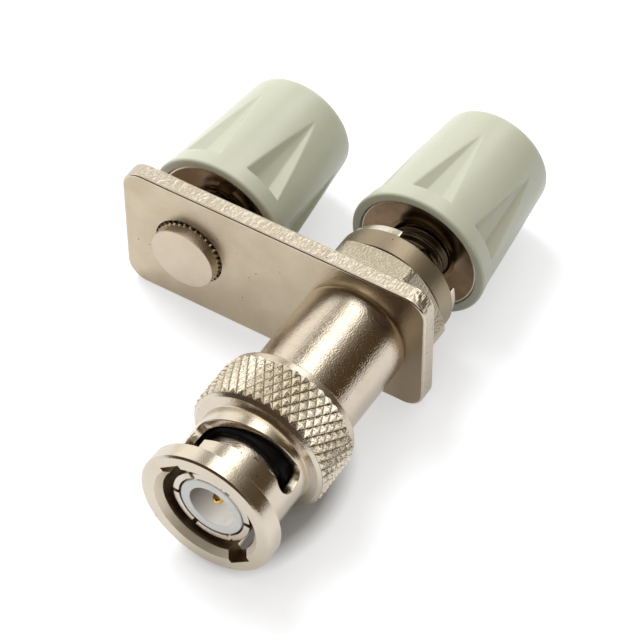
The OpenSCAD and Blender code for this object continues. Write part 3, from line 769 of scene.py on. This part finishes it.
def makeInsulator(s):
    loop = rounded([
        (s.bore, s.front, 0.12), (s.outer, s.front, 0.12), (s.outer, s.rear), (s.tail, s.rear),
        (s.tail, s.floor), (s.bore, s.floor, 0.2)])
    mesh = meshFrom("whiteInsulator", *spun(loop, steps=128), signalAt)
    sortFaces(mesh, signalAt, lambda radius, y, tilt: 1 if radius < s.bore + 0.02 else 0)
    addPiece("whiteInsulator", mesh, (whitePlastic, boreWhite), "adapter", ("plug_insulator",))


makeInsulator(insulatorSize)

pinSize = Values(tip=-24.45, floor=-19.6, radius=0.675, dome=1.3, domeSteps=12, tail=1.1, rear=-9.35,
                 bore=0.7, seat=-11.85)


def makePin(s):
    loop = []
    for k in range(s.domeSteps + 1):  # round end of the pin
        angle = math.pi / 2 * k / s.domeSteps
        loop.append((s.radius * math.sin(angle), s.tip + s.dome * (1 - math.cos(angle))))
    loop += [(s.radius, s.floor), (s.tail, s.floor), (s.tail, s.rear), (s.bore, s.rear), (s.bore, s.seat),
             (0.0, s.seat)]
    mesh = meshFrom("goldPin", *spun(loop, steps=64), signalAt)
    addPiece("goldPin", mesh, (pinGold,), "adapter", ("centre_pin",))


makePin(pinSize)

gasketSize = Values(front=-19.85, rear=-17.45, outer=4.75, inner=4.05)


def makeGasket(s):
    loop = rounded([
        (s.inner, s.front, 0.2), (s.outer, s.front, 0.3), (s.outer, s.rear, 0.1), (s.inner, s.rear)])
    mesh = meshFrom("rubberGasket", *spun(loop, steps=128), signalAt)
    addPiece("rubberGasket", mesh, (blackRubber,), "adapter", ("front_gasket",))


makeGasket(gasketSize)
print("plug insides made")

hexSize = Values(flat=6.35, corner=7.15, front=1.9, rear=5.0, bore=4.75, slope=30.0, soft=0.05, sideSteps=24,
                 cornerFan=(-0.012, -0.006, -0.003, 0.0, 0.003, 0.006, 0.012))


def softMin(a, b, k):
    h = max(k - abs(a - b), 0.0) / k
    return min(a, b) - h * h * k / 4


def makeHex(s):
    sixth = math.pi / 3
    edge = math.acos(s.flat / s.corner)
    cuts = [-sixth / 2 + sixth * k / s.sideSteps for k in range(s.sideSteps)]
    cuts += [sign * edge + d for sign in (-1, 1) for d in s.cornerFan]
    angles = [math.radians(90 + 60 * side) + cut for side in range(6) for cut in sorted(cuts)]
    slope = math.tan(math.radians(s.slope))
    points = []
    for angle in angles:
        swing = (angle - math.pi / 2 + sixth / 2) % sixth - sixth / 2
        radius = softMin(s.flat / math.cos(swing), s.corner, s.soft)
        brow = s.rear - max(radius - s.flat, 0.0) * slope  # the chamfer's lower edge
        rows = [(s.bore, s.front), (radius - 0.06, s.front), (radius, s.front + 0.06),
                (radius, brow - 0.05), (radius - 0.02, brow - 0.01), (s.flat - 0.02, s.rear - 0.004),
                (s.flat - 0.08, s.rear), (s.bore, s.rear)]
        points += [turned(r, y, angle) for r, y in rows]
    mesh = meshFrom("hexNut", points, bands(len(angles), len(rows), closed=True), signalAt, sharp=20)
    addPiece("hexNut", mesh, (hexNickel,), "adapter", ("hex_nut",))


makeHex(hexSize)

bushSize = Values(front=-4.0, hexRear=5.0, rear=5.3, inner=2.0, outer=3.31, flange=6.0)


def makeBush(s):
    loop = rounded([
        (s.inner, s.front), (s.outer, s.front), (s.outer, s.hexRear), (s.flange, s.hexRear, 0.08),
        (s.flange, s.rear, 0.08), (s.inner, s.rear)])
    mesh = meshFrom("postBush", *spun(loop, steps=128), signalAt)
    addPiece("postBush", mesh, (darkMoulding,), "adapter", ("post_insulator",))


makeBush(bushSize)

threadSize = {"Pitch": 1.0 * mm, "Crest": 3.17 * mm, "Root": 2.72 * mm, "Inner": 2.4 * mm, "Columns": 64,
              "Steps": 12, "Material": shadedThreadNickel}


def threadTree():  # rows follow the helix, so each one keeps its own radius
    tree, pad, given = newGroup("screwThread", {
        "Pitch": "Float", "Crest": "Float", "Root": "Float", "Inner": "Float", "Columns": "Int",
        "Steps": "Int", "Start": "Float", "Length": "Float", "Axis": "Vector", "Material": "Material"})
    hair = 1e-6
    flank = (0.14, 0.86)  # the slope between a flat root and a flat crest
    turns = pad.math("CEIL", given["Length"] / given["Pitch"]) + 1.0
    rows = turns * given["Steps"]
    sheet = pad.add("GeometryNodeMeshGrid", {
        "Size X": 1.0, "Size Y": 1.0, "Vertices X": given["Columns"] + 1.0, "Vertices Y": rows + 4.0})
    x, y, _ = placeParts(pad)
    across = x + 0.5
    row = pad.math("ROUND", (y + 0.5) * (rows + 3.0)) - 1.0
    last = pad.math("GREATER_THAN", row, rows + 1.5)  # the last row lies at the start again, inside
    rise = (row / given["Steps"] - 1.0 + across) * given["Pitch"]
    before = pad.math("LESS_THAN", rise, hair)
    beyond = pad.math("MAXIMUM", before, pad.math("GREATER_THAN", rise, given["Length"] - hair))
    along = pad.math("MAXIMUM", pad.math("MINIMUM", rise, given["Length"]), 0.0) * (1.0 - last)
    phase = (row / given["Steps"]) % 1.0
    tooth = pad.level(pad.math("ABSOLUTE", phase * 2.0 - 1.0), *flank)
    radius = given["Root"] + (given["Crest"] - given["Root"]) * tooth
    radius = radius + (given["Inner"] - radius) * beyond  # rows past the ends fold in to the inner wall
    wrapped = wrapRound(pad, given["Axis"], across * -fullTurn, given["Start"] + along, radius)
    made = pad.add("GeometryNodeSetPosition", {"Geometry": sheet, "Position": wrapped})
    made = pad.add("GeometryNodeMergeByDistance", {"Geometry": made, "Distance": 1e-7})
    closeGroup(pad, made, given["Material"])
    return tree


threads = threadTree()


def drilled(mesh, s, at, sharp):  # the cross hole for a wire at the foot of a stud
    reach = 4.0
    angle = math.radians(s.wireAngle)
    rod, faces = spun([(0.0, -reach), (s.wire, -reach), (s.wire, reach), (0.0, reach)], steps=32)
    points = []
    for x, y, z in rod:
        across, up = crossed(y, z, angle)
        points.append((across, s.wireY + x, up))
    return carved(mesh, [meshFrom("wireHole", points, faces, at)], sharp)


def addThread(name, s, foot, at):
    length = s.studEnd - foot - s.threadShort
    places = {"Start": (foot + s.threadGap) * mm, "Length": length * mm, "Axis": at}
    mesh = grown(name, threads, {**threadSize, **places})
    tidyMesh(mesh, sharp=50)
    addPiece(name, drilled(mesh, s, at, sharp=50), (shadedThreadNickel,), "adapter")


postSize = Values(collarFront=5.3, collarRear=7.4, collar=6.35, lipInner=6.04, lipFront=5.14, shank=2.0,
                  shankFront=-4.0, spindle=0.7, spindleFront=-11.85, stud=2.76, studEnd=21.9, socket=2.0,
                  socketFloor=11.3, threadGap=0.6, threadShort=1.0, wire=0.9, wireY=9.6, wireAngle=51.0)
crownSize = Values(front=postSize.collarRear - 0.2, rear=8.4, outer=6.05, bore=4.8, slot=3.65, angle=51.0,
                   steps=40, edge=0.12)


def makeSignalPost(s):
    loop = rounded([
        (0.0, s.spindleFront), (s.spindle, s.spindleFront), (s.spindle, s.shankFront),
        (s.shank, s.shankFront), (s.shank, s.collarFront), (s.lipInner, s.collarFront),
        (s.lipInner, s.lipFront, 0.03), (s.collar, s.lipFront, 0.1), (s.collar, s.collarRear, 0.14),
        (s.stud, s.collarRear, 0.1), (s.stud, s.studEnd, 0.3), (s.socket, s.studEnd, 0.15),
        (s.socket, s.socketFloor, 0.2), (0.0, s.socketFloor)])
    mesh = drilled(meshFrom("signalPost", *spun(loop, steps=160), signalAt), s, signalAt, sharp=30)
    addPiece("signalPost", mesh, (collarNickel,), "adapter", ("signal_post",))


def makeCrown(s):  # the collar's slotted rim
    rings = ((s.bore, s.front), (s.outer, s.front), (s.outer, s.rear), (s.bore, s.rear))
    count = len(rings)
    halves = []
    for side in (0, 1):
        points = []
        for k in range(s.steps + 1):
            for radius, y in rings:
                half = math.asin(s.slot / radius)
                start = math.radians(s.angle) + half + math.pi * side
                points.append(turned(radius, y, start + (math.pi - 2 * half) * k / s.steps))
        ends = [tuple(start + k for k in range(count)) for start in (0, s.steps * count)]
        halves.append((points, ends + bands(s.steps + 1, count)))
    mesh = meshFrom("signalCrown", *joined(*halves), signalAt, sharp=40)
    addPiece("signalCrown", mesh, (contactNickel,), "adapter", bevel=s.edge)


makeSignalPost(postSize)
makeCrown(crownSize)
addThread("signalThread", postSize, postSize.collarRear, signalAt)

groundSize = Values(buttonFront=-1.25, button=3.51, buttonRear=-0.3, press=3.55, seat=6.05, seatFront=1.9,
                    seatRear=2.9, stud=2.76, studEnd=17.4, socket=2.0, socketFloor=6.8, threadGap=0.6,
                    threadShort=1.0, wire=0.9, wireY=5.1, wireAngle=90.0)


def makeGroundPost(s):
    loop = rounded([
        (0.0, s.buttonFront), (s.button, s.buttonFront, 0.09), (s.button, s.buttonRear),
        (s.press, s.buttonRear), (s.press, s.seatFront), (s.seat, s.seatFront, 0.12),
        (s.seat, s.seatRear, 0.12), (s.stud, s.seatRear, 0.1), (s.stud, s.studEnd, 0.3),
        (s.socket, s.studEnd, 0.15), (s.socket, s.socketFloor, 0.2), (0.0, s.socketFloor)])
    mesh = drilled(meshFrom("groundPost", *spun(loop, steps=160), groundAt), s, groundAt, sharp=30)
    addPiece("groundPost", mesh, (buttonNickel,), "adapter", ("ground_post",))


makeGroundPost(groundSize)
addThread("groundThread", groundSize, groundSize.seatRear, groundAt)

teethSize = {"Count": 34, "Radius": 3.5 * mm, "Height": 0.30 * mm, "Width": 0.19 * mm, "Front": 0.0 * mm,
             "Depth": 0.28 * mm, "Flat": 0.35, "Axis": groundAt, "Material": burnishedNickel}


def teethTree():  # straight teeth of the pressed shank, where they show in front of the plate
    tree, pad, given = newGroup("pressTeeth", {
        "Count": "Int", "Radius": "Float", "Height": "Float", "Width": "Float", "Front": "Float",
        "Depth": "Float", "Flat": "Float", "Axis": "Vector", "Material": "Material"})
    line = pad.add("GeometryNodeMeshLine", {"Count": given["Count"]}, mode="OFFSET")
    angle = pad.add("GeometryNodeInputIndex") * fullTurn / given["Count"]
    spot = wrapRound(pad, given["Axis"], angle, given["Front"], given["Radius"])
    line = pad.add("GeometryNodeSetPosition", {"Geometry": line, "Position": spot})
    tooth = pad.add("GeometryNodeMeshCone", {
        "Vertices": 4, "Radius Top": given["Flat"], "Radius Bottom": 1.0, "Depth": 1.0})
    lay = pad.add("ShaderNodeCombineXYZ", {0: 0.0, 1: math.pi / 2 - angle, 2: 0.0})
    size = pad.add("ShaderNodeCombineXYZ", {0: given["Width"], 1: given["Depth"], 2: given["Height"]})
    made = pad.add("GeometryNodeInstanceOnPoints", {
        "Points": line, "Instance": tooth, "Rotation": lay, "Scale": size})
    closeGroup(pad, made, given["Material"])
    return tree


teeth = grown("pressTeeth", teethTree(), teethSize)
tidyMesh(teeth, sharp=30)
addPiece("pressTeeth", teeth, (), "adapter")
print("posts made")

knobSize = Values(length=15.75, rim=7.5, band=7.2, bandLength=1.95, end=5.95, endRound=0.9, flutes=6,
                  fluteLength=10.5, fluteAngle=35.0, fluteDepth=1.1, fluteFloor=1.9, fluteEdge=0.1,
                  soft=0.08, hole=3.5, recess=6.5, recessBack=1.45, sleeve=4.45, sleeveEnd=12.05, rows=68,
                  columns=360)
insertSize = Values(dish=6.48, lip=0.22, setback=0.15, depth=0.45, floor=3.8, thick=0.8, bore=3.235,
                    sleeve=4.4, length=12.0)
knobPlaces = {"signal": Values(at=signalAt, y=11.35, firstFlute=28.0),
              "ground": Values(at=groundAt, y=4.95, firstFlute=53.0)}


def fluteRadius(s, angle, y, taper):  # radius of one flute's walls at an angle from its middle
    nowhere = 99.0
    share = y / s.fluteLength
    if share >= 1:
        return nowhere
    start = s.band
    tip = start - taper * s.fluteLength
    half = math.radians(s.fluteAngle) / 2
    low = start - s.fluteDepth
    floorX = low + (tip - low) * share
    floorZ = s.fluteFloor / 2 * (1 - share)
    wayX = start * math.cos(half) + (tip - start * math.cos(half)) * share - floorX
    wayZ = start * math.sin(half) * (1 - share) - floorZ
    lean = math.cos(angle) * wayZ - abs(math.sin(angle)) * wayX
    wall = (floorX * wayZ - floorZ * wayX) / lean if lean > 1e-6 else nowhere
    return -softMin(-floorX / math.cos(angle), -wall, s.soft)


def makeKnob(name, s, place, body):
    y0 = place.y
    edge = s.fluteEdge
    taper = (s.band - s.end) / (s.length - s.bandLength - s.endRound)
    start = y0 + s.bandLength + edge
    lowRows = rounded([
        (s.recess, y0 + s.recessBack), (s.recess, y0, 0.1), (s.rim, y0, 0.28),
        (s.band, y0 + s.bandLength)])[:-1]
    fluted = [start + edge * t for t in (-1, -0.5, -0.25, 0, 0.25, 0.5, 1)]
    fluted += [start + edge + (s.fluteLength + 2 * edge) * k / s.rows for k in range(1, s.rows + 1)]
    endRows = rounded([
        (s.end + taper, y0 + s.length - s.endRound - 1.0),
        (s.end - taper * s.endRound, y0 + s.length, s.endRound), (s.hole, y0 + s.length, 0.2),
        (s.hole, y0 + s.sleeveEnd), (s.sleeve, y0 + s.sleeveEnd), (s.sleeve, y0 + s.recessBack)], steps=6)
    pitch = fullTurn / s.flutes
    points = []
    for i in range(s.columns):
        angle = fullTurn * i / s.columns
        swing = (angle - math.radians(place.firstFlute) + pitch / 2) % pitch - pitch / 2
        rows = list(lowRows)
        for y in fluted:
            cone = s.band - taper * max(y - y0 - s.bandLength, 0.0)
            cut = softMin(cone, fluteRadius(s, swing, max(y - start, 0.0), taper), s.soft)
            share = min(max((y - start + edge / 2) / edge, 0.0), 1.0)
            rows.append((cone + (cut - cone) * share, y))
        rows += endRows
        points += [turned(r, y, angle) for r, y in rows]
    mesh = meshFrom(name, points, bands(s.columns, len(rows), closed=True), place.at, sharp=40)
    addPiece(name, mesh, (knobPlastic,), body, (body,))


def makeInsert(name, s, place, body, node):
    y0 = place.y
    lipY = y0 + s.setback
    floorY = lipY + s.depth
    backY = floorY + s.thick
    loop = rounded([
        (s.bore, floorY, 0.15), (s.floor, floorY, 0.5), (s.dish - s.lip, lipY, 0.1), (s.dish, lipY, 0.14),
        (s.dish, backY), (s.sleeve, backY), (s.sleeve, y0 + s.length), (s.bore, y0 + s.length)])
    mesh = meshFrom(name, *spun(loop, steps=160), place.at)
    sortFaces(mesh, place.at, lambda radius, y, tilt: 1 if radius > s.dish - s.lip else 0)
    addPiece(name, mesh, (cupNickel, contactNickel), body, (node,))


for side, place in knobPlaces.items():
    makeKnob(side + "Knob", knobSize, place, side + "_knob")
for side, place in knobPlaces.items():
    makeInsert(side + "Insert", insertSize, place, side + "_insert", side + "_knob_insert")
print("knobs made")

springSize = Values(front=-14.69, rear=-13.11, inner=5.15, outer=5.95, thick=0.25, waves=3, steps=144,
                    pressed=0.49)


def makeSpring(s):  # the spring as it stands unpressed; the real one flattens as the nut is pulled forward
    swing = (s.rear - s.front - s.thick) / 2
    section = ((s.inner, -1), (s.outer, -1), (s.outer, 1), (s.inner, 1))
    points = []
    for i in range(s.steps):
        angle = fullTurn * i / s.steps
        y = (s.rear + s.front) / 2 + swing * math.cos(s.waves * angle)
        points += [turned(radius, y + side * s.thick / 2, angle) for radius, side in section]
    mesh = meshFrom("waveSpring", points, bands(s.steps, len(section), closed=True), signalAt, sharp=40)
    spring = addPiece("waveSpring", mesh, (shadedThreadNickel,), "adapter", ("wave_spring",))
    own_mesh(spring)


makeSpring(springSize)

for nodeName in ("thrust_washer", "retaining_ring"):  # closed up inside the nut
    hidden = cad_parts[nodeName]
    hidden.data.materials.clear()
    hidden.data.materials.append(shadedThreadNickel)

floorLook = Values(side=6.0, shade=(0.67, 0.69, 0.75), glow=(0.50, 0.50, 0.50), mirrored=0.72,
                   under=(0.0096, -0.0165, 0.0), underSize=(0.0074, 0.0113, 1.0), underReach=(0.68, 1.0))


def makeFloor(s):
    half = s.side / 2
    mesh = bpy.data.meshes.new("floor")
    corners = [(-half, -half, 0), (half, -half, 0), (half, half, 0), (-half, half, 0)]
    mesh.from_pydata(corners, [], [(0, 1, 2, 3)])
    material, pad = newMaterial("paleFloor")
    place = pad.add("ShaderNodeTexCoord", out="Object")
    away = pad.vector("DIVIDE", pad.vector("SUBTRACT", place, s.under), s.underSize)
    away = pad.vector("LENGTH", away, out="Value")
    # painted shadow: no glow in an oval under the plug, so the floor there stays darker
    glow = pad.blend(pad.level(away, *s.underReach), grey(0.0), s.glow)
    seen = pad.rayIs("Camera") + pad.rayIs("Transmission") + pad.rayIs("Glossy") * s.mirrored
    glow = pad.blend(pad.math("MINIMUM", seen, 1.0), grey(0.0), glow)
    cloth = pad.add("ShaderNodeBsdfDiffuse", {"Color": s.shade})
    glow = pad.add("ShaderNodeEmission", {"Color": glow, "Strength": 1.0})
    both = pad.add("ShaderNodeAddShader", {0: cloth, 1: glow})
    pad.add("ShaderNodeOutputMaterial", {"Surface": both})
    newObject("floor", mesh, (material,))


makeFloor(floorLook)

worldLook = Values(
    # what the metal mirrors, by the angle round the plug's axis from the right, over the top, to the left
    round=(
        (0.0, (0.10, 0.07, 0.035)), (46.0, (0.10, 0.07, 0.035)), (60.0, (0.30, 0.27, 0.21)),
        (74.0, (0.70, 0.69, 0.66)), (79.0, (2.4, 2.4, 2.4)), (106.0, (2.4, 2.4, 2.4)),
        (109.0, (0.40, 0.40, 0.36)), (124.0, (0.48, 0.47, 0.43)), (131.0, (1.36, 1.35, 1.32)),
        (160.0, (1.36, 1.34, 1.30)), (180.0, (1.0, 0.98, 0.95)),
    ),
    # a pale roof over the object, fading out to the back
    tent=(1.25, 1.22, 1.16), tentSide=(0.1, 0.42), tentRise=(0.35, 0.62),
    # a dark room in front, behind the camera
    room=(0.09, 0.065, 0.045), roomSide=(-0.42, -0.18),
    # what lights the matt pieces
    fillDim=(0.30, 0.285, 0.25), fillBright=(0.65, 0.62, 0.55), fillFrom=(-0.64, 0.0, 0.77),
    fillReach=(-0.8, 0.8),
)


def makeWorld(s):
    world = bpy.data.worlds.new("studio")
    world.use_nodes = True
    world.node_tree.nodes.clear()
    pad = Pad(world.node_tree)
    look = pad.add("ShaderNodeTexCoord", out="Generated")
    x, y, z = pad.add("ShaderNodeSeparateXYZ", {0: look}, None)
    turn = pad.math("ARCTAN2", z, x) / math.pi
    stops = [(angle / 180, shade) for angle, shade in s.round]
    room = pad.add("ShaderNodeValToRGB", {0: turn}, stops=stops)
    above = pad.level(y, *s.tentSide, 1.0, 0.0) * pad.level(z, *s.tentRise)
    room = pad.vector("MAXIMUM", room, pad.blend(above, grey(0.0), s.tent))
    room = pad.blend(pad.level(y, *s.roomSide, 1.0, 0.0), room, s.room)
    lean = pad.vector("DOT_PRODUCT", look, s.fillFrom, "Value")
    fill = pad.blend(pad.level(lean, *s.fillReach), s.fillDim, s.fillBright)
    room = pad.blend(pad.rayIs("Diffuse"), room, fill)
    seen = pad.math("MINIMUM", pad.rayIs("Camera") + pad.rayIs("Transmission"), 1.0)
    room = pad.blend(seen, room, grey(1.0))  # the camera itself sees white
    sky = pad.add("ShaderNodeBackground", {"Color": room, "Strength": 1.0})
    pad.add("ShaderNodeOutputWorld", {"Surface": sky})
    bpy.context.scene.world = world


makeWorld(worldLook)

lampLook = Values(place=(-0.30, 0.16, 0.50), aim=(0.0, 0.0, 0.0075), size=0.32, power=2.35,
                  colour=(1.0, 1.0, 0.99))


def makeLamp(s):
    lamp = bpy.data.lights.new("keyBox", "AREA")
    lamp.shape = "DISK"
    lamp.size = s.size
    lamp.energy = s.power
    lamp.color = s.colour
    obj = newObject("keyBox", lamp)
    obj.location = s.place
    obj.rotation_euler = (Vector(s.place) - Vector(s.aim)).to_track_quat("Z", "Y").to_euler()
    obj.visible_glossy = False  # the metal mirrors the world's bright band instead


makeLamp(lampLook)

cameraLook = Values(place=(0.109056, -0.164482, 0.228833), look=(-0.35089, 0.55565, -0.753743), roll=-0.0076,
                    lens=173.385, sensor=36.0, near=0.01)


def makeCamera(s):
    data = bpy.data.cameras.new("camera")
    data.sensor_fit = "HORIZONTAL"
    data.sensor_width = s.sensor
    data.lens = s.lens
    data.clip_start = s.near
    look = Vector(s.look).normalized()
    level = look.cross(Vector((0, 0, 1))).normalized()
    upright = level.cross(look)
    right = (level * math.cos(s.roll) + upright * math.sin(s.roll)).normalized()
    up = right.cross(look)
    camera = newObject("camera", data)
    rows = [(right[k], up[k], -look[k], s.place[k]) for k in range(3)]
    camera.matrix_world = Matrix((*rows, (0, 0, 0, 1)))
    bpy.context.scene.camera = camera


makeCamera(cameraLook)
bpy.context.scene.view_settings.view_transform = "Standard"
